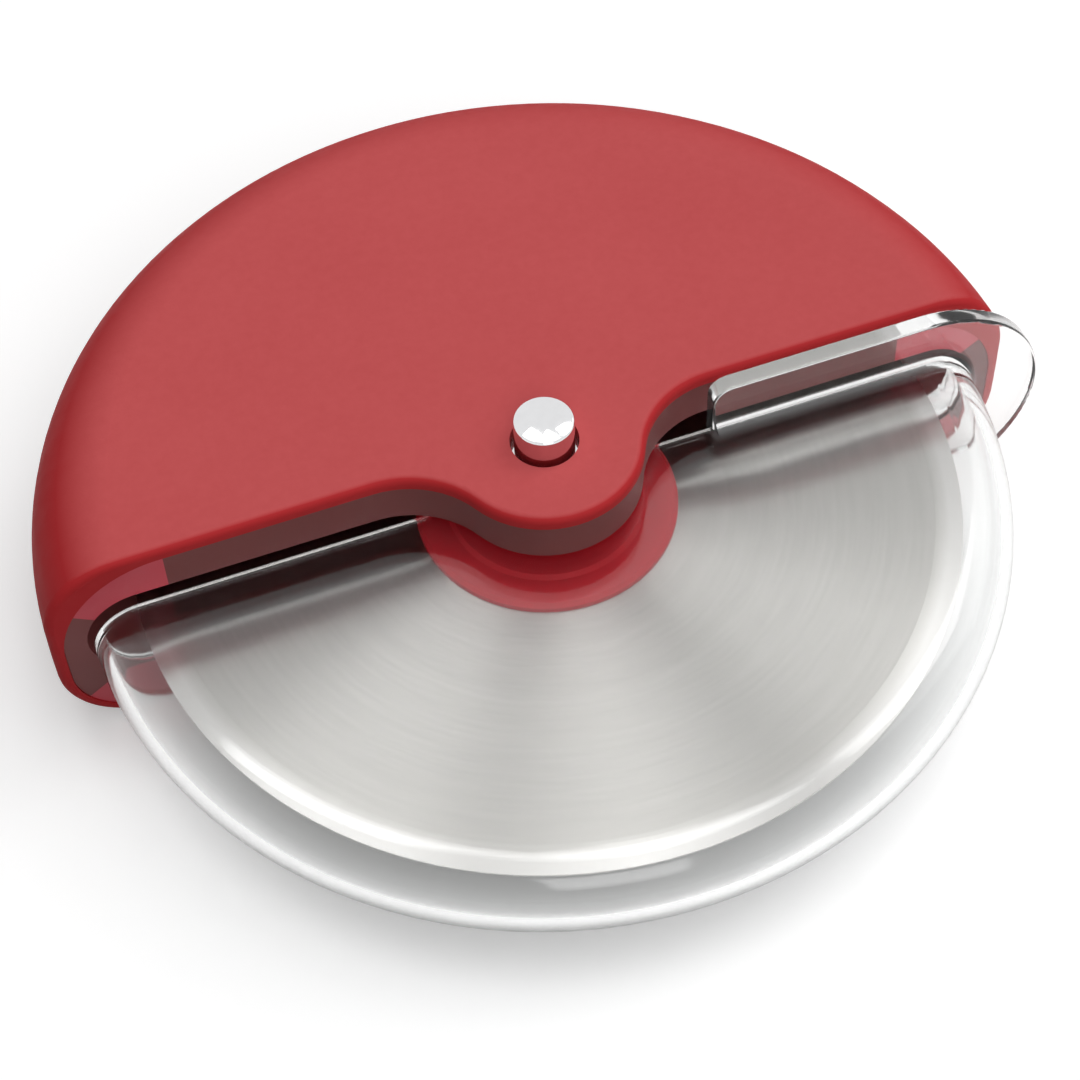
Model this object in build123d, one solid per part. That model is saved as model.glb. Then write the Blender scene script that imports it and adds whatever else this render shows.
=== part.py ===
from build123d import *
import math
import os

# A slim pizza cutter wheel, lying flat with its guard closed, in millimetres.
# Z runs up the blade's axle, and z = 0 is the surface that the casing lies on.
# The casing's open side, its mouth, faces -Y, and the clear guard stands out of it.
# The guard swings half a turn clockwise, seen from above, and ends inside the casing.

# Casing: a half disc with a soft rim, and a lobe that reaches forward round the axle.
# It reaches belly_drop further down from the blade than up from it.
casing_end_wall = 4.4
casing_side_wall = 1.5
casing_skin = 1.7
belly_drop = 3.0
rim_round_above = 10.0
rim_round_below = 11.5
rim_crown = 0.5
cavity_round_above = 13.0
cavity_round_below = 9.5
lobe_radius = 11.8
mouth_round = 11.7
lip_round = 1.0

# Guard: a clear half-disc pocket round the front half of the blade.
# Its straight edge lies guard_edge behind the axle.
tip_room = 4.6
guard_height = 12.3
guard_wall = 1.5
guard_edge = 0.3
guard_edge_round = 0.4
lug_radius = 9.5

# Thumb plate: stands across the guard's right end, and is part of the guard.
# Its front face lies plate_front before the axle.
plate_thickness = 2.3
plate_front = 0.44
plate_start = 21.3
plate_overhang = 4.9
plate_inset = 0.6
plate_end_round = 17.0
plate_corner = 2.4
plate_edge_round = 0.35
plate_foot_round = 1.5
plate_foot_sink = 0.05

# Room round the guard and its thumb plate.
parked_gap = 0.3
landing_gap = 0.46
pocket_side_gap = 0.6
pocket_flat_gap = 0.5

# Liner: two smoky mouldings that fill the casing and leave the guard's pocket.
liner_fit = 0.05
liner_setback = 0.2
liner_web = 1.6
liner_rib = 1.6
core_from_hub = 7.2
core_from_pocket = 6.7
core_row_count = 2
core_rib_count = 9
core_margin = 4.0
joint_step = 0.8
joint_from_pocket = 1.3

# End pads: let into the liner's face at both ends of the mouth.
pad_width = 10.7
pad_depth = 4.0
upper_pad_foot = 4.2
lower_pad_foot = 8.3
pad_foot_rise = 4.2

# Blade and hub.
blade_radius = 50.0
blade_thickness = 1.0
bevel_width = 3.3
cutting_edge = 0.2
hub_radius = 15.8
hub_plate = 1.2
hub_edge_chamfer = 0.5
hub_step_radius = 11.6
hub_step = 0.5
bushing_wall = 1.15
dowel_radius = 0.75
dowel_wall = 0.95
dowel_depth = 2.2
dowel_count = 4

# Axle, lock pin, spring and the two pivots.
sleeve_radius = 4.0
sleeve_wall = 1.4
sleeve_floor = 1.6
sleeve_flange_radius = 5.4
sleeve_flange = 0.7
stub_radius = 2.5
stub_length = 1.5
cap_height = 1.2
cap_wall = 1.15
tip_radius = 2.0
tip_dome = 0.3
pin_body_height = 3.0
spring_wire = 0.5
spring_side_gap = 0.25
spring_turn_count = 5
washer_radius = 7.4
washer_thickness = 0.3
bush_length = 1.55
bush_wall = 1.35
bush_rim = 0.4
bush_rim_width = 1.0
clip_wall = 1.15
clip_height = 1.6
clip_opening = 4.2

# Release button.
press_stroke = 2.4
button_radius = 3.6
button_gap = 0.5
button_proud = 4.2
button_dome = 0.45
button_edge_round = 0.4
collar_width = 1.1
collar_height = 1.2
stem_radius = 1.85

# Fits and running clearances.
running_fit = 0.05
press_fit = 0.02
end_play = 0.075
stop_gap = 0.1
hair = 0.01

# Heights and places that follow from the sizes above.
half_pocket = guard_height / 2 + pocket_flat_gap
well_depth = press_stroke + collar_height + 2 * stop_gap
upper_half = half_pocket + bush_length + well_depth + casing_skin
middle = upper_half + belly_drop
casing_height = middle + upper_half
cavity_radius = blade_radius + tip_room
guard_radius = cavity_radius + guard_wall
pocket_radius = guard_radius + pocket_side_gap
casing_radius = pocket_radius + casing_end_wall
guard_low = middle - guard_height / 2
guard_high = middle + guard_height / 2
pocket_low = guard_low - pocket_flat_gap
pocket_high = guard_high + pocket_flat_gap
left_face = plate_front + landing_gap
plate_back = plate_thickness - plate_front
right_face = plate_back + parked_gap
plate_end = casing_radius + plate_overhang
well_floor = pocket_high + bush_length
pin_top = pocket_high + press_stroke - running_fit
cavity_low = guard_low + guard_wall
cavity_high = guard_high - guard_wall
blade_low = middle - blade_thickness / 2
blade_high = middle + blade_thickness / 2
hub_top = cavity_high - washer_thickness - 2 * end_play
hub_bottom = cavity_low + washer_thickness + 2 * end_play
bushing_bore = sleeve_radius + running_fit
bushing_radius = bushing_bore + bushing_wall
dowel_circle_radius = bushing_radius + dowel_wall + dowel_radius
hub_boss_radius = dowel_circle_radius + dowel_radius + dowel_wall
sleeve_low = guard_low + running_fit
sleeve_high = guard_high - running_fit
sleeve_bore = sleeve_radius - sleeve_wall
cap_low = sleeve_high - cap_height
tip_bore = tip_radius + running_fit
cap_radius = tip_bore + cap_wall
spring_low = sleeve_low + sleeve_floor
pin_shoulder = cap_low - running_fit
pin_low = pin_shoulder - pin_body_height
stub_low = pocket_low - stub_length
clip_bore = stub_radius + running_fit
collar_low = well_floor + press_stroke + stop_gap
collar_radius = button_radius + collar_width
core_start = hub_radius + core_from_hub
core_end = pocket_radius - core_from_pocket
pad_start = pocket_radius - pad_width
reach = 2 * casing_radius


def post(radius, low, high, x=0, y=0):
    """An upright round bar between two heights."""
    return Pos(x, y, low) * extrude(Circle(radius), high - low)


def slab(x0, x1, y0, y1, low, high):
    """A box given by its six sides."""
    plan = Pos((x0 + x1) / 2, (y0 + y1) / 2) * Rectangle(x1 - x0, y1 - y0)
    return Pos(0, 0, low) * extrude(plan, high - low)


def turned(edges):
    """Turns a closed outline of radius and height about the axle."""
    return revolve(Plane.XZ * make_face(edges), Axis.Z)


def soft_disc(radius, low, high, round_above, round_below):
    """A flat disc whose side bulges by the rim's crown and is rounded above and below."""
    shoulder = radius - rim_crown
    outline = make_face([
        Line((0, low), (shoulder, low)),
        ThreePointArc((shoulder, low), (radius, (low + high) / 2), (shoulder, high)),
        Line((shoulder, high), (0, high)),
        Line((0, high), (0, low)),
    ])
    outline = fillet(outline.vertices().group_by(Axis.Y)[-1].sort_by(Axis.X)[-1], round_above)
    outline = fillet(outline.vertices().group_by(Axis.Y)[0].sort_by(Axis.X)[-1], round_below)
    return revolve(Plane.XZ * outline, Axis.Z)


def full_round_disc(radius, low, high):
    """A flat disc whose side is one half circle."""
    flat = radius - (high - low) / 2
    return turned([
        Line((0, low), (flat, low)),
        ThreePointArc((flat, low), (radius, (low + high) / 2), (flat, high)),
        Line((flat, high), (0, high)),
        Line((0, high), (0, low)),
    ])


def mouth_prism(setback):
    """Everything behind the mouth's outline, which bulges forward round the axle."""
    lobe = lobe_radius - setback
    left = Pos(-reach / 2, left_face + setback + reach / 2) * Rectangle(reach, reach)
    right = Pos(reach / 2, right_face + setback + reach / 2) * Rectangle(reach, reach)
    plan = left + right + Circle(lobe)
    inner_corners = [v for v in plan.vertices() if abs(math.hypot(v.X, v.Y) - lobe) < hair]
    plan = fillet(inner_corners, mouth_round + setback)
    return extrude(plan, casing_height)


def make_outer_casing():
    body = soft_disc(casing_radius, 0, casing_height, rim_round_above, rim_round_below)
    body &= mouth_prism(0)
    mouth_faces = [f for f in body.faces() if f.bounding_box().max.Y < right_face + hair]
    lips = ShapeList(e for f in mouth_faces for e in f.edges()).filter_by(Axis.Z, reverse=True)
    body = fillet(lips, lip_round)
    body -= soft_disc(
        casing_radius - casing_side_wall,
        casing_skin,
        casing_height - casing_skin,
        cavity_round_above,
        cavity_round_below,
    )
    return body - post(button_radius + button_gap, middle, casing_height)


def make_liner_block():
    """Both liners in one, solid but for the guard's pocket."""
    inset = casing_side_wall + liner_fit
    block = soft_disc(
        casing_radius - inset,
        casing_skin + liner_fit,
        casing_height - casing_skin - liner_fit,
        cavity_round_above - liner_fit,
        cavity_round_below - liner_fit,
    )
    block &= mouth_prism(liner_setback)
    return block - full_round_disc(pocket_radius, pocket_low, pocket_high)


def liner_cells(low, high):
    """Rows of cells that lighten a liner, with radial ribs between them."""
    row_width = (core_end - core_start - liner_rib * (core_row_count - 1)) / core_row_count
    cells = None
    for row in range(core_row_count):
        inner = core_start + row * (row_width + liner_rib)
        ring = post(inner + row_width, low, high) - post(inner, low, high)
        cells = ring if cells is None else cells + ring
    cells &= slab(-reach, reach, right_face + core_margin, reach, low, high)
    for rib in range(core_rib_count):
        angle = 180 * (rib + 1) / (core_rib_count + 1)
        cells -= Rot(0, 0, angle) * slab(0, reach, -liner_rib / 2, liner_rib / 2, low, high)
    return cells


def pad_cutter(side, level):
    """The space of one end pad. side is -1 for left, level is -1 for the lower liner."""
    foot = middle + (upper_pad_foot if level > 0 else -lower_pad_foot)
    ceiling = middle + level * casing_height
    outline = make_face(Polyline(
        (side * pad_start, ceiling),
        (side * pad_start, foot),
        (side * (pocket_radius - guard_wall), foot),
        (side * casing_radius, foot + level * pad_foot_rise),
        (side * casing_radius, ceiling),
        close=True,
    ))
    face = left_face if side < 0 else right_face
    return extrude(Plane.XZ * outline, amount=-(face + pad_depth))


def make_liners_and_pads():
    block = make_liner_block()
    joint_radius = pocket_radius + joint_from_pocket
    above_joint = post(reach, middle - joint_step, casing_height)
    above_joint -= post(joint_radius, middle - joint_step, middle + joint_step)
    upper = block & above_joint
    lower = block - above_joint
    upper -= liner_cells(pocket_high + liner_web, casing_height)
    lower -= liner_cells(0, pocket_low - liner_web)

    upper -= post(collar_radius + stop_gap, well_floor, casing_height)
    upper -= post(tip_bore + bush_wall + press_fit, pocket_high, well_floor)
    rim_seat = tip_bore + bush_wall + bush_rim_width + press_fit
    upper -= post(rim_seat, pocket_high, pocket_high + bush_rim + press_fit)

    groove_half = clip_bore + running_fit
    lower -= post(clip_bore + clip_wall + press_fit, pocket_low - clip_height, pocket_low)
    lower -= slab(-groove_half, groove_half, -reach, 0, pocket_low - clip_height, pocket_low)

    pieces = {}
    for name, side in (("left", -1), ("right", 1)):
        upper_cutter = pad_cutter(side, 1)
        lower_cutter = pad_cutter(side, -1)
        pieces["upper_" + name + "_pad"] = upper & upper_cutter
        pieces["lower_" + name + "_pad"] = lower & lower_cutter
        upper -= upper_cutter
        lower -= lower_cutter
    pieces["upper_liner"] = upper
    pieces["lower_liner"] = lower
    return pieces


def make_thumb_plate():
    """The upright plate, before the blade's slot is cut in it."""
    low = plate_inset
    high = casing_height - plate_inset
    height = high - low
    length = plate_end - plate_start
    straight = length - plate_end_round
    outline = Pos(plate_start + straight / 2, low + height / 2) * Rectangle(straight, height)
    outline += Pos(plate_end - plate_end_round, high - plate_end_round) * Circle(plate_end_round)
    outline &= Pos(plate_start + length / 2, low + height / 2) * Rectangle(length, height)
    lower_corners = outline.vertices().group_by(Axis.Y)[0]
    upper_corner = outline.vertices().group_by(Axis.Y)[-1].sort_by(Axis.X)[0]
    outline = fillet([*lower_corners, upper_corner], plate_corner)
    plate = Pos(0, -plate_front, 0) * extrude(Plane.XZ * outline, amount=-plate_thickness)
    rims = plate.faces().filter_by(Axis.Y).edges()
    return fillet(rims, plate_edge_round)


def make_plate_foot():
    """The soft corner between the plate and the guard, all round the guard's end."""
    half_height = guard_height / 2
    rim_start = guard_radius - half_height
    root = half_height - guard_edge_round - plate_foot_sink
    top = half_height + plate_foot_round
    toe = half_height - plate_foot_sink
    nose = plate_foot_round + plate_front
    inside = plate_foot_sink - plate_front
    slant = plate_foot_round * (1 - math.sqrt(0.5))
    section = make_face([
        Polyline((-nose, toe), (-nose, root), (inside, root), (inside, top), (-plate_front, top)),
        ThreePointArc(
            (-plate_front, top), (-plate_front - slant, half_height + slant), (-nose, toe)
        ),
    ])
    run = rim_start - plate_start - plate_edge_round
    strip = Pos(rim_start - run, 0, 0) * extrude(Plane.YZ * section, run)
    around = Pos(rim_start, 0, 0) * revolve(Plane.YZ * section, Axis.Y, 180)
    under = mirror(strip, Plane.XY)
    return Pos(0, 0, middle) * (strip + around + under)


def make_blade_guard():
    half = slab(-reach, reach, -reach, guard_edge, 0, casing_height)
    body = full_round_disc(guard_radius, guard_low, guard_high) & half
    body = fillet(body.edges().filter_by(Axis.X), guard_edge_round)
    body += post(lug_radius, guard_low, guard_high)
    body += make_thumb_plate()
    body += make_plate_foot()
    body -= full_round_disc(cavity_radius, cavity_low, cavity_high)
    body -= post(sleeve_radius + press_fit, guard_low, guard_high)
    return body - post(
        sleeve_flange_radius + press_fit, guard_low, sleeve_low + sleeve_flange + press_fit
    )


def make_blade():
    """A flat disc ground to a thin edge from both sides."""
    shoulder = blade_radius - bevel_width
    half_edge = cutting_edge / 2
    disc = turned([Polyline(
        (0, blade_low),
        (shoulder, blade_low),
        (blade_radius, middle - half_edge),
        (blade_radius, middle + half_edge),
        (shoulder, blade_high),
        (0, blade_high),
        close=True,
    )])
    disc -= post(bushing_radius + running_fit, blade_low, blade_high)
    for place in PolarLocations(dowel_circle_radius, dowel_count):
        disc -= place * post(dowel_radius + press_fit, blade_low, blade_high)
    return disc


def make_hub_half(level):
    """The hub above the blade for level 1, or below it for level -1."""
    far = (hub_top - middle) if level > 0 else (middle - hub_bottom)
    near = blade_thickness / 2
    plate = near + hub_plate
    profile = Polyline(
        (bushing_radius + press_fit, near),
        (hub_radius, near),
        (hub_radius, plate - hub_edge_chamfer),
        (hub_radius - hub_edge_chamfer, plate),
        (hub_step_radius + hub_step, plate),
        (hub_step_radius, plate + hub_step),
        (hub_boss_radius, plate + hub_step),
        (hub_boss_radius, far),
        (bushing_radius + press_fit, far),
        close=True,
    )
    half = turned([profile])
    for place in PolarLocations(dowel_circle_radius, dowel_count):
        half -= place * post(dowel_radius + press_fit, near, near + dowel_depth + press_fit)
    if level < 0:
        half = mirror(half, Plane.XY)
    return Pos(0, 0, middle) * half


def make_hub_dowels():
    low = blade_low - dowel_depth
    high = blade_high + dowel_depth
    places = PolarLocations(dowel_circle_radius, dowel_count)
    return Compound(children=[place * post(dowel_radius, low, high) for place in places])


def make_axle_sleeve():
    sleeve = post(sleeve_radius, sleeve_low, sleeve_high)
    sleeve += post(sleeve_flange_radius, sleeve_low, sleeve_low + sleeve_flange)
    sleeve += post(stub_radius, stub_low, sleeve_low)
    sleeve -= post(sleeve_bore, spring_low, sleeve_high)
    return sleeve - post(cap_radius + press_fit, cap_low, sleeve_high)


def make_lock_pin():
    dome_start = pin_top - tip_dome
    return turned([
        Polyline(
            (0, pin_low),
            (sleeve_bore - running_fit, pin_low),
            (sleeve_bore - running_fit, pin_shoulder),
            (tip_radius, pin_shoulder),
            (tip_radius, dome_start),
        ),
        Line((tip_radius, dome_start), (tip_radius - tip_dome, pin_top)),
        Line((tip_radius - tip_dome, pin_top), (0, pin_top)),
        Line((0, pin_top), (0, pin_low)),
    ])


def make_lock_spring():
    wire_half = spring_wire / 2
    coil_radius = sleeve_bore - spring_side_gap - wire_half
    start = spring_low + wire_half
    rise = pin_low - wire_half - start
    path = Pos(0, 0, start) * Helix(rise / spring_turn_count, rise, coil_radius)
    section = Plane(path @ 0, z_dir=path % 0) * Circle(wire_half)
    return sweep(section, path)


def make_upper_pivot_bush():
    radius = tip_bore + bush_wall
    bush = post(radius, pocket_high, well_floor)
    bush += post(radius + bush_rim_width, pocket_high, pocket_high + bush_rim)
    return bush - post(tip_bore, pocket_high, well_floor)


def make_lower_pivot_clip():
    low = pocket_low - clip_height
    clip = post(clip_bore + clip_wall, low, pocket_low) - post(clip_bore, low, pocket_low)
    return clip - slab(-clip_opening / 2, clip_opening / 2, -reach, 0, low, pocket_low)


def make_release_button():
    top = casing_height + button_proud
    crown_low = top - button_dome
    side_top = crown_low - button_edge_round
    flat = button_radius - button_edge_round
    underside = casing_height - casing_skin - stop_gap
    stem_low = pin_top + running_fit
    dome_radius = (flat**2 + button_dome**2) / (2 * button_dome)
    dome_middle = top - dome_radius + math.sqrt(dome_radius**2 - (flat / 2) ** 2)
    slant = button_edge_round * math.sqrt(0.5)
    return turned([
        Polyline(
            (0, stem_low),
            (stem_radius, stem_low),
            (stem_radius, collar_low),
            (collar_radius, collar_low),
            (collar_radius, underside),
            (button_radius, underside),
            (button_radius, side_top),
        ),
        ThreePointArc(
            (button_radius, side_top), (flat + slant, side_top + slant), (flat, crown_low)
        ),
        ThreePointArc((flat, crown_low), (flat / 2, dome_middle), (0, top)),
        Line((0, top), (0, stem_low)),
    ])


def make_washer(low):
    return post(washer_radius, low, low + washer_thickness) - post(
        bushing_bore, low, low + washer_thickness
    )


def make_all():
    pieces = {
        "outer_casing": make_outer_casing(),
        "blade_guard": make_blade_guard(),
        "blade": make_blade(),
        "upper_hub": make_hub_half(1),
        "lower_hub": make_hub_half(-1),
        "hub_dowels": make_hub_dowels(),
        "hub_bushing": post(bushing_radius, hub_bottom, hub_top)
        - post(bushing_bore, hub_bottom, hub_top),
        "axle_sleeve": make_axle_sleeve(),
        "sleeve_cap": post(cap_radius, cap_low, sleeve_high)
        - post(tip_bore, cap_low, sleeve_high),
        "lock_pin": make_lock_pin(),
        "lock_spring": make_lock_spring(),
        "upper_washer": make_washer(hub_top + end_play),
        "lower_washer": make_washer(hub_bottom - end_play - washer_thickness),
        "upper_pivot_bush": make_upper_pivot_bush(),
        "lower_pivot_clip": make_lower_pivot_clip(),
        "release_button": make_release_button(),
    }
    pieces.update(make_liners_and_pads())
    return pieces


os.makedirs("parts", exist_ok=True)
for node, shape in make_all().items():
    export_step(shape, "parts/" + node + ".step")
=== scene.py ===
import math

import bpy
from mathutils import Matrix, Vector


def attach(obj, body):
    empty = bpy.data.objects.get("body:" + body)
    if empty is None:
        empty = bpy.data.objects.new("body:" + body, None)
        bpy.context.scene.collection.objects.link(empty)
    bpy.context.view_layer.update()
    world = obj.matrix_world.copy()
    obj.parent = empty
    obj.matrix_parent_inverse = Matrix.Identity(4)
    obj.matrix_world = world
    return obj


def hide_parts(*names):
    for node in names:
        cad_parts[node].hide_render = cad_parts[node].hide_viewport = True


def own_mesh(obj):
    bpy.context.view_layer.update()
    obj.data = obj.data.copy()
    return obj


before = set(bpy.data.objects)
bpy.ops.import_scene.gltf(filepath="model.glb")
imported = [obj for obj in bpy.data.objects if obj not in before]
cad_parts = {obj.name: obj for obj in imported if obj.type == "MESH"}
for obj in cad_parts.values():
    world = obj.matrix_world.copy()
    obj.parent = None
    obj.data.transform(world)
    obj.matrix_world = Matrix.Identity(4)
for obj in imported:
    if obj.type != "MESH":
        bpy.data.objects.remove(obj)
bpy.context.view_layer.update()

MM = 0.001
WHITE = (1, 1, 1, 1)

# The camera stands where the photograph's camera stood, in the part's own frame.
IMAGE_SIZE = 1080
FOCAL_PIXELS = 2600.0
CENTRE_PIXEL = (600.85, 538.24)
VIEW_YAW = math.radians(-20.49)
VIEW_PITCH = math.radians(54.09)
VIEW_ROLL = math.radians(-0.64)
VIEW_DISTANCE = 328.6 * MM
VIEW_TARGET = Vector((7.98, 2.94, 3.0)) * MM
SENSOR_WIDTH = 36.0
NEAREST_SEEN = 0.01
FURTHEST_SEEN = 20


def view_axes():
    """The camera's right, up and back directions."""
    flat = math.cos(VIEW_PITCH)
    back = Vector((math.sin(VIEW_YAW) * flat, -math.cos(VIEW_YAW) * flat, math.sin(VIEW_PITCH)))
    right = Vector((math.cos(VIEW_YAW), math.sin(VIEW_YAW), 0))
    up = back.cross(right)
    turned_right = math.cos(VIEW_ROLL) * right + math.sin(VIEW_ROLL) * up
    turned_up = math.cos(VIEW_ROLL) * up - math.sin(VIEW_ROLL) * right
    return turned_right, turned_up, back


def make_camera():
    right, up, back = view_axes()
    camera = bpy.data.objects.new("camera", bpy.data.cameras.new("camera"))
    bpy.context.scene.collection.objects.link(camera)
    turn = Matrix((right, up, back)).transposed().to_4x4()
    camera.matrix_world = Matrix.Translation(VIEW_TARGET + back * VIEW_DISTANCE) @ turn
    camera.data.sensor_width = SENSOR_WIDTH
    camera.data.lens = FOCAL_PIXELS / IMAGE_SIZE * SENSOR_WIDTH
    camera.data.shift_x = (IMAGE_SIZE / 2 - CENTRE_PIXEL[0]) / IMAGE_SIZE
    camera.data.shift_y = (CENTRE_PIXEL[1] - IMAGE_SIZE / 2) / IMAGE_SIZE
    camera.data.clip_start = NEAREST_SEEN
    camera.data.clip_end = FURTHEST_SEEN
    bpy.context.scene.camera = camera


# Nearly all of a noise's values lie between these two.
NOISE_LOW = 0.3
NOISE_HIGH = 0.7


class Paint:
    """A Principled material with short ways to add nodes to it."""

    def __init__(self, name):
        self.material = bpy.data.materials.new(name)
        self.material.use_nodes = True
        self.tree = self.material.node_tree
        self.tree.nodes.clear()
        self.output = self.add("OutputMaterial")
        self.shader = self.add("BsdfPrincipled")
        self.link(self.shader.outputs["BSDF"], self.output.inputs["Surface"])
        self.place = self.add("TexCoord").outputs["Object"]

    def add(self, kind, **settings):
        node = self.tree.nodes.new("ShaderNode" + kind)
        for key, value in settings.items():
            setattr(node, key, value)
        return node

    def link(self, source, target):
        self.tree.links.new(source, target)

    def set(self, **values):
        """Sets the shader's own sockets. An underscore in a name stands for a space."""
        for key, value in values.items():
            self.shader.inputs[key.replace("_", " ")].default_value = value

    def noise(self, size, detail, place=None):
        """Noise from 0 to 1 whose blobs are about the given size across."""
        node = self.add("TexNoise")
        node.inputs["Scale"].default_value = 1 / size
        node.inputs["Detail"].default_value = detail
        self.link(place or self.place, node.inputs["Vector"])
        return node.outputs["Fac"]

    def ramp(self, value, low, high, start=0.0, end=1.0):
        """Carries a value from the range low to high into start to end."""
        node = self.add("MapRange")
        node.inputs["From Min"].default_value = low
        node.inputs["From Max"].default_value = high
        node.inputs["To Min"].default_value = start
        node.inputs["To Max"].default_value = end
        self.link(value, node.inputs["Value"])
        return node.outputs["Result"]

    def maths(self, operation, *values):
        """Works on one or two values, each a number or the result of another node."""
        node = self.add("Math", operation=operation)
        for socket, value in zip(node.inputs, values):
            if isinstance(value, (int, float)):
                socket.default_value = value
            else:
                self.link(value, socket)
        return node.outputs["Value"]

    def mean(self, first, second):
        return self.maths("MULTIPLY", self.maths("ADD", first, second), 0.5)

    def colours(self, share, first, second):
        """Mixes two colours by a share from 0 to 1."""
        node = self.add("Mix", data_type="RGBA")
        node.inputs["A"].default_value = (*first, 1)
        node.inputs["B"].default_value = (*second, 1)
        self.link(share, node.inputs["Factor"])
        return node.outputs["Result"]

    def blend(self, share, first, second):
        """Carries a colour that is already worked out into a plain one by a share."""
        node = self.add("Mix", data_type="RGBA")
        self.link(first, node.inputs["A"])
        node.inputs["B"].default_value = (*second, 1)
        self.link(share, node.inputs["Factor"])
        return node.outputs["Result"]

    def base(self, colour):
        self.link(colour, self.shader.inputs["Base Color"])

    def roughness(self, noise, smoothest, roughest):
        spread = self.ramp(noise, NOISE_LOW, NOISE_HIGH, smoothest, roughest)
        self.link(spread, self.shader.inputs["Roughness"])

    def bump(self, height, depth, strength):
        node = self.add("Bump")
        node.inputs["Strength"].default_value = strength
        node.inputs["Distance"].default_value = depth
        self.link(height, node.inputs["Height"])
        self.link(node.outputs["Normal"], self.shader.inputs["Normal"])

    def split(self, vector):
        """A vector's X, Y and Z."""
        node = self.add("SeparateXYZ")
        self.link(vector, node.inputs["Vector"])
        return node.outputs

    def join(self, x, y=None):
        """A vector of X, Y and no Z."""
        node = self.add("CombineXYZ")
        self.link(x, node.inputs["X"])
        if y:
            self.link(y, node.inputs["Y"])
        return node.outputs["Vector"]

    def flatness(self):
        """1 where the surface faces straight up or down, and 0 where it faces sideways."""
        normal = self.split(self.add("TexCoord").outputs["Normal"])
        return self.maths("ABSOLUTE", normal["Z"])

    def radius(self):
        """Distance from the blade's axle."""
        place = self.split(self.place)
        across = self.maths("POWER", place["X"], 2.0)
        along = self.maths("POWER", place["Y"], 2.0)
        return self.maths("SQRT", self.maths("ADD", across, along))

    def angle(self):
        """Angle round the blade's axle."""
        place = self.split(self.place)
        return self.maths("ARCTAN2", place["Y"], place["X"])

    def lets_lamps_through(self, share):
        """Lets lamps shine through clear plastic instead of casting a black shadow."""
        clear = self.add("BsdfTransparent")
        clear.inputs["Color"].default_value = (share, share, share, 1)
        mix = self.add("MixShader")
        self.link(self.add("LightPath").outputs["Is Shadow Ray"], mix.inputs["Fac"])
        self.link(self.shader.outputs["BSDF"], mix.inputs[1])
        self.link(clear.outputs["BSDF"], mix.inputs[2])
        self.link(mix.outputs["Shader"], self.output.inputs["Surface"])


def patchy(name, patch, colours, grain, roughness, bump=None, **sockets):
    """A paint with patches of two close colours and a grain of two close roughnesses.

    A patch and a grain are each a size and a detail. A bump is those, a depth and a strength.
    """
    paint = Paint(name)
    paint.base(paint.colours(paint.noise(*patch), *colours))
    paint.roughness(paint.noise(*grain), *roughness)
    if bump:
        size, detail, depth, strength = bump
        paint.bump(paint.noise(size, detail), depth, strength)
    paint.set(**sockets)
    return paint


# The casing's two broad faces are painted paler, a painted sheen that stands in for the light on
# them, which fades where they round off.
CASING_PATCH = 18 * MM
CASING_SPECK = 1.1 * MM
CASING_PORE = 0.28 * MM
CASING_SHEENED_FACE = ((0.495, 0.068, 0.071), (0.585, 0.097, 0.100))
CASING_SIDE = (0.46, 0.022, 0.026)
SHEEN_FULL = 1.0
SHEEN_GONE = 0.80


def soft_touch_red():
    paint = Paint("casing_soft_touch")
    mottle = paint.mean(paint.noise(CASING_PATCH, 3), paint.noise(CASING_SPECK, 3))
    # Painted sheen: the broad faces get the pale red, and the sides get the deeper red.
    face = paint.colours(mottle, *CASING_SHEENED_FACE)
    side = paint.ramp(paint.flatness(), SHEEN_FULL, SHEEN_GONE)
    paint.base(paint.blend(side, face, CASING_SIDE))
    paint.roughness(paint.noise(2 * MM, 4), smoothest=0.60, roughest=0.68)
    paint.bump(paint.noise(CASING_PORE, 3), depth=0.02 * MM, strength=0.6)
    paint.set(Specular_IOR_Level=0.15)
    return paint


def moulded_red():
    return patchy(
        "hub_red_plastic",
        patch=(9 * MM, 3),
        colours=((0.37, 0.010, 0.018), (0.40, 0.013, 0.021)),
        grain=(1.5 * MM, 3),
        roughness=(0.42, 0.50),
        bump=(0.2 * MM, 2, 0.006 * MM, 0.4),
        Specular_IOR_Level=0.1,
    )


def smoky_plastic():
    return patchy(
        "liner_smoky_plastic",
        patch=(12 * MM, 3),
        colours=((0.165, 0.040, 0.039), (0.20, 0.053, 0.051)),
        grain=(6 * MM, 2),
        roughness=(0.46, 0.54),
        Specular_IOR_Level=0.3,
    )


def pink_plastic():
    return patchy(
        "pad_pink_plastic",
        patch=(5 * MM, 3),
        colours=((0.57, 0.060, 0.084), (0.63, 0.072, 0.100)),
        grain=(1.5 * MM, 3),
        roughness=(0.30, 0.38),
        Specular_IOR_Level=0.25,
    )


# The share of a lamp's light that passes one surface of the guard.
LIGHT_PASSED = 0.92


def clear_plastic():
    paint = patchy(
        "guard_clear_plastic",
        patch=(30 * MM, 2),
        colours=((0.935, 0.94, 0.937), (0.955, 0.96, 0.957)),
        grain=(6 * MM, 3),
        roughness=(0.05, 0.09),
        bump=(14 * MM, 1, 0.01 * MM, 0.3),
        IOR=1.49,
        Transmission_Weight=1.0,
    )
    paint.lets_lamps_through(LIGHT_PASSED)
    return paint


# The blade has fine rings from grinding, which spread each light into a fan. ACROSS_RINGS is the
# turn that lays its gloss across them. Its scratches run along them, in arcs: their noise moves
# on by SCRATCH_STRETCH for each radian.
FINE_RING = 0.06 * MM
BROAD_RING = 2.5 * MM
SCRATCH_WIDTH = 0.5 * MM
SCRATCH_STRETCH = 2 * MM
BEVEL_START = 46.8 * MM
BEVEL_FULL = BEVEL_START + 1.6 * MM
BLADE_FACE = ((0.355, 0.345, 0.33), (0.495, 0.485, 0.47))
BLADE_BEVEL = (0.57, 0.56, 0.55)
ACROSS_RINGS = 0.25


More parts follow.
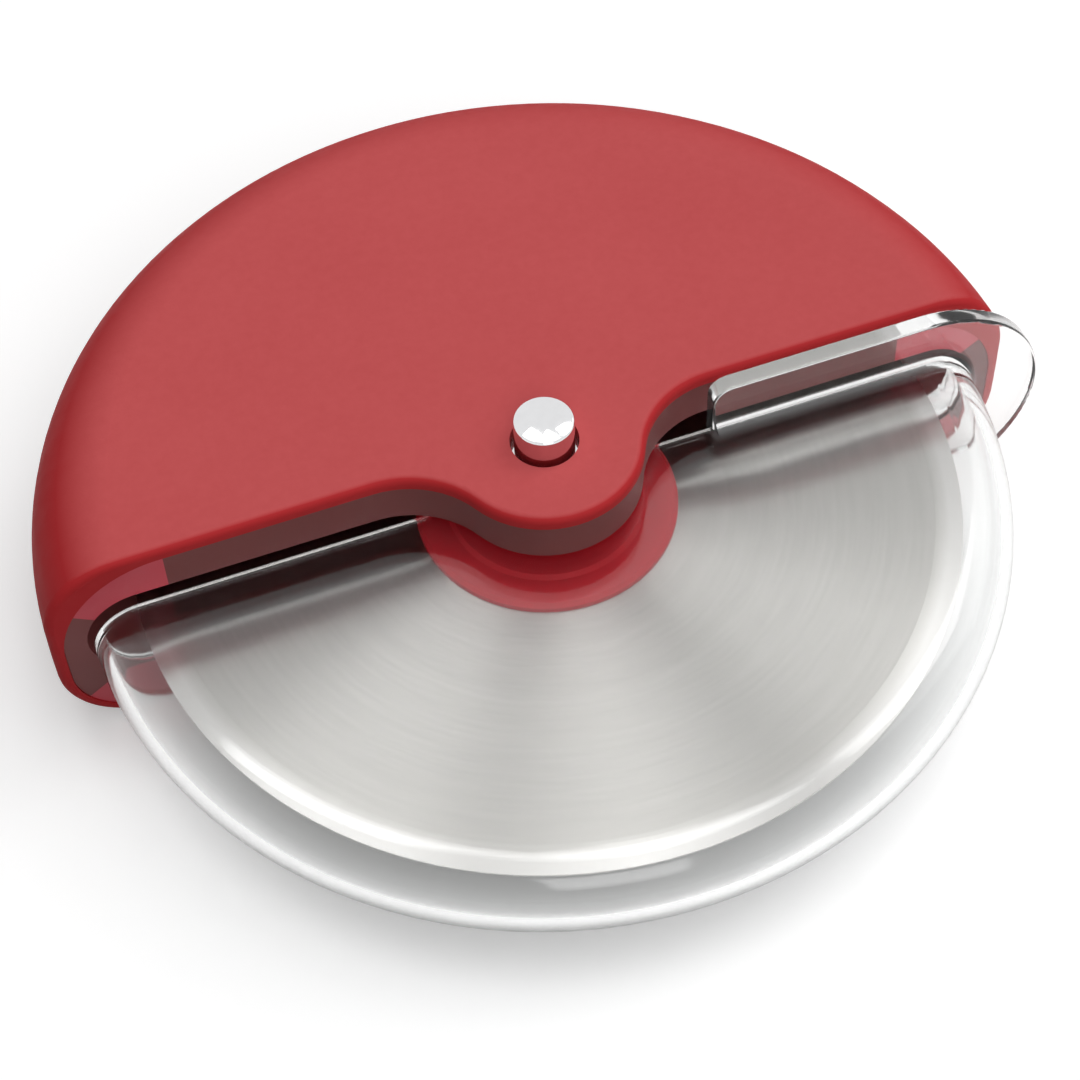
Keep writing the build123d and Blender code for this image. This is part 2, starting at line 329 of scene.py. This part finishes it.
def turned_steel():
    paint = Paint("blade_turned_steel")
    radius = paint.radius()
    rings = paint.join(radius)
    fine = paint.noise(FINE_RING, 2, rings)
    broad = paint.noise(BROAD_RING, 2, rings)
    arcs = paint.join(radius, paint.maths("MULTIPLY", paint.angle(), SCRATCH_STRETCH))
    scratches = paint.noise(SCRATCH_WIDTH, 3, arcs)
    face = paint.colours(paint.mean(broad, scratches), *BLADE_FACE)
    bevel = paint.ramp(radius, BEVEL_START, BEVEL_FULL)
    paint.base(paint.blend(bevel, face, BLADE_BEVEL))
    paint.roughness(fine, smoothest=0.29, roughest=0.35)
    paint.bump(fine, depth=0.002 * MM, strength=0.3)
    paint.set(Metallic=1.0, Anisotropic=0.97, Anisotropic_Rotation=ACROSS_RINGS)
    tangent = paint.add("Tangent", direction_type="RADIAL", axis="Z")
    paint.link(tangent.outputs["Tangent"], paint.shader.inputs["Tangent"])
    return paint


def polished_chrome():
    return patchy(
        "button_chrome",
        patch=(1.2 * MM, 3),
        colours=((0.72, 0.72, 0.73), (0.78, 0.78, 0.79)),
        grain=(1.2 * MM, 3),
        roughness=(0.05, 0.10),
        Metallic=1.0,
    )


def inner_steel():
    return patchy(
        "inner_turned_steel",
        patch=(0.3 * MM, 3),
        colours=((0.45, 0.45, 0.46), (0.55, 0.55, 0.56)),
        grain=(0.3 * MM, 3),
        roughness=(0.25, 0.4),
        Metallic=1.0,
    )


def white_nylon():
    return patchy(
        "white_nylon",
        patch=(0.8 * MM, 3),
        colours=((0.74, 0.74, 0.72), (0.80, 0.80, 0.78)),
        grain=(0.8 * MM, 3),
        roughness=(0.4, 0.5),
    )


def dress(paint, *names):
    """Gives CAD nodes their material."""
    for name in names:
        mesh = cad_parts[name].data
        mesh.materials.clear()
        mesh.materials.append(paint.material)


def dress_frame():
    dress(soft_touch_red(), "outer_casing")
    dress(moulded_red(), "upper_hub", "lower_hub")
    dress(smoky_plastic(), "upper_liner", "lower_liner")
    dress(pink_plastic(), "upper_left_pad", "upper_right_pad", "lower_left_pad", "lower_right_pad")
    dress(clear_plastic(), "blade_guard")
    dress(turned_steel(), "blade")
    dress(polished_chrome(), "release_button")
    dress(
        inner_steel(),
        "hub_dowels",
        "axle_sleeve",
        "sleeve_cap",
        "lock_pin",
        "lock_spring",
        "upper_pivot_bush",
        "lower_pivot_clip",
    )
    dress(white_nylon(), "hub_bushing", "upper_washer", "lower_washer")


def make_spring():
    """The lock spring as a piece of its own, carried on the guard's body."""
    spring = bpy.data.objects.new("coil_spring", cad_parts["lock_spring"].data.copy())
    bpy.context.scene.collection.objects.link(spring)
    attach(spring, "guard")
    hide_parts("lock_spring")
    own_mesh(spring)


def seen_share(tree):
    """1 for the rays that see the studio, straight or in metal and glass, and 0 for all others."""
    path = tree.nodes.new("ShaderNodeLightPath")
    share = path.outputs["Is Camera Ray"]
    for kind in ("Is Glossy Ray", "Is Transmission Ray"):
        larger = tree.nodes.new("ShaderNodeMath")
        larger.operation = "MAXIMUM"
        tree.links.new(share, larger.inputs[0])
        tree.links.new(path.outputs[kind], larger.inputs[1])
        share = larger.outputs["Value"]
    return share


# The floor is brighter where it is seen than where it lights the part. It glows a little round the
# cutter, but not under the blade, which paints a shadow there, and more and more far off, where it
# turns white.
FLOOR_RADIUS = 1.6
FLOOR_SIDES = 48
FLOOR_SEEN = 0.90
FLOOR_BOUNCE = 0.15
NEAR_GLOW = 0.28
NEAR_GLOW_START = 40 * MM
NEAR_GLOW_FULL = 56 * MM
FAR_GLOW = 0.75
FAR_GLOW_START = 0.2
FAR_GLOW_FULL = 0.9


def make_floor():
    """A pale disc that the cutter lies on."""
    points = [(0, 0, 0)]
    for step in range(FLOOR_SIDES):
        angle = 2 * math.pi * step / FLOOR_SIDES
        points.append((FLOOR_RADIUS * math.cos(angle), FLOOR_RADIUS * math.sin(angle), 0))
    faces = [(0, step + 1, (step + 1) % FLOOR_SIDES + 1) for step in range(FLOOR_SIDES)]
    mesh = bpy.data.meshes.new("floor")
    mesh.from_pydata(points, [], faces)
    floor = bpy.data.objects.new("floor", mesh)
    bpy.context.scene.collection.objects.link(floor)
    paint = Paint("floor_white")
    seen = seen_share(paint.tree)
    paint.base(paint.colours(seen, [FLOOR_BOUNCE] * 3, [FLOOR_SEEN] * 3))
    radius = paint.radius()
    # Painted shadow: no glow within NEAR_GLOW_START of the axle, under the blade.
    near_glow = paint.ramp(radius, NEAR_GLOW_START, NEAR_GLOW_FULL, 0, NEAR_GLOW)
    far_glow = paint.ramp(radius, FAR_GLOW_START, FAR_GLOW_FULL, 0, FAR_GLOW)
    glow = paint.maths("ADD", near_glow, far_glow)
    paint.link(paint.maths("MULTIPLY", seen, glow), paint.shader.inputs["Emission Strength"])
    paint.set(Emission_Color=WHITE, Roughness=1.0, Specular_IOR_Level=0.0)
    mesh.materials.append(paint.material)


# The sky gives light from where a direction's cosine to SKY_AXIS is SKY_START. On the axis its
# strength is SKY_TOP.
SKY_AXIS = (0.35, -0.30, 0.887)
SKY_START = 0.25
SKY_TOP = 0.92
SKY_SEEN = 1.0


def make_world():
    """Soft light that grows towards the sky's axis, and plain white where the sky is seen."""
    world = bpy.data.worlds.new("studio")
    bpy.context.scene.world = world
    world.use_nodes = True
    tree = world.node_tree
    light = tree.nodes["Background"]
    light.inputs["Color"].default_value = WHITE
    height = tree.nodes.new("ShaderNodeVectorMath")
    height.operation = "DOT_PRODUCT"
    height.inputs[1].default_value = SKY_AXIS
    tree.links.new(tree.nodes.new("ShaderNodeTexCoord").outputs["Generated"], height.inputs[0])
    rise = tree.nodes.new("ShaderNodeMapRange")
    rise.interpolation_type = "SMOOTHSTEP"
    rise.inputs["From Min"].default_value = SKY_START
    rise.inputs["To Max"].default_value = SKY_TOP
    tree.links.new(height.outputs["Value"], rise.inputs["Value"])
    tree.links.new(rise.outputs["Result"], light.inputs["Strength"])
    seen = tree.nodes.new("ShaderNodeBackground")
    seen.inputs["Color"].default_value = WHITE
    seen.inputs["Strength"].default_value = SKY_SEEN
    mix = tree.nodes.new("ShaderNodeMixShader")
    tree.links.new(seen_share(tree), mix.inputs["Fac"])
    tree.links.new(light.outputs["Background"], mix.inputs[1])
    tree.links.new(seen.outputs["Background"], mix.inputs[2])
    tree.links.new(mix.outputs["Shader"], tree.nodes["World Output"].inputs["Surface"])


# Each lamp's name, place and side length in metres, and power in watts.
LAMPS = (
    ("softbox_front", (-0.1, -0.9, 0.8), 0.5, 2.0),
    ("softbox_right", (0.85, 0.15, 0.75), 0.7, 1.4),
    ("fan_left", (-0.175, 0.34, 1.12), 0.35, 1.4),
    ("fan_middle", (0.17, 0.135, 1.17), 0.35, 1.3),
    ("fan_right", (0.57, 0.245, 1.0), 0.35, 1.0),
)


def make_lamp(name, place, side, power):
    """A square lamp that faces the foot of the blade's axle."""
    data = bpy.data.lights.new(name, "AREA")
    data.shape = "SQUARE"
    data.size = side
    data.energy = power
    lamp = bpy.data.objects.new(name, data)
    bpy.context.scene.collection.objects.link(lamp)
    lamp.location = place
    lamp.rotation_euler = (-Vector(place)).to_track_quat("-Z", "Y").to_euler()


def make_lights():
    make_world()
    for lamp in LAMPS:
        make_lamp(*lamp)


make_camera()
make_floor()
make_lights()
dress_frame()
make_spring()

bpy.context.scene.view_settings.view_transform = "Standard"
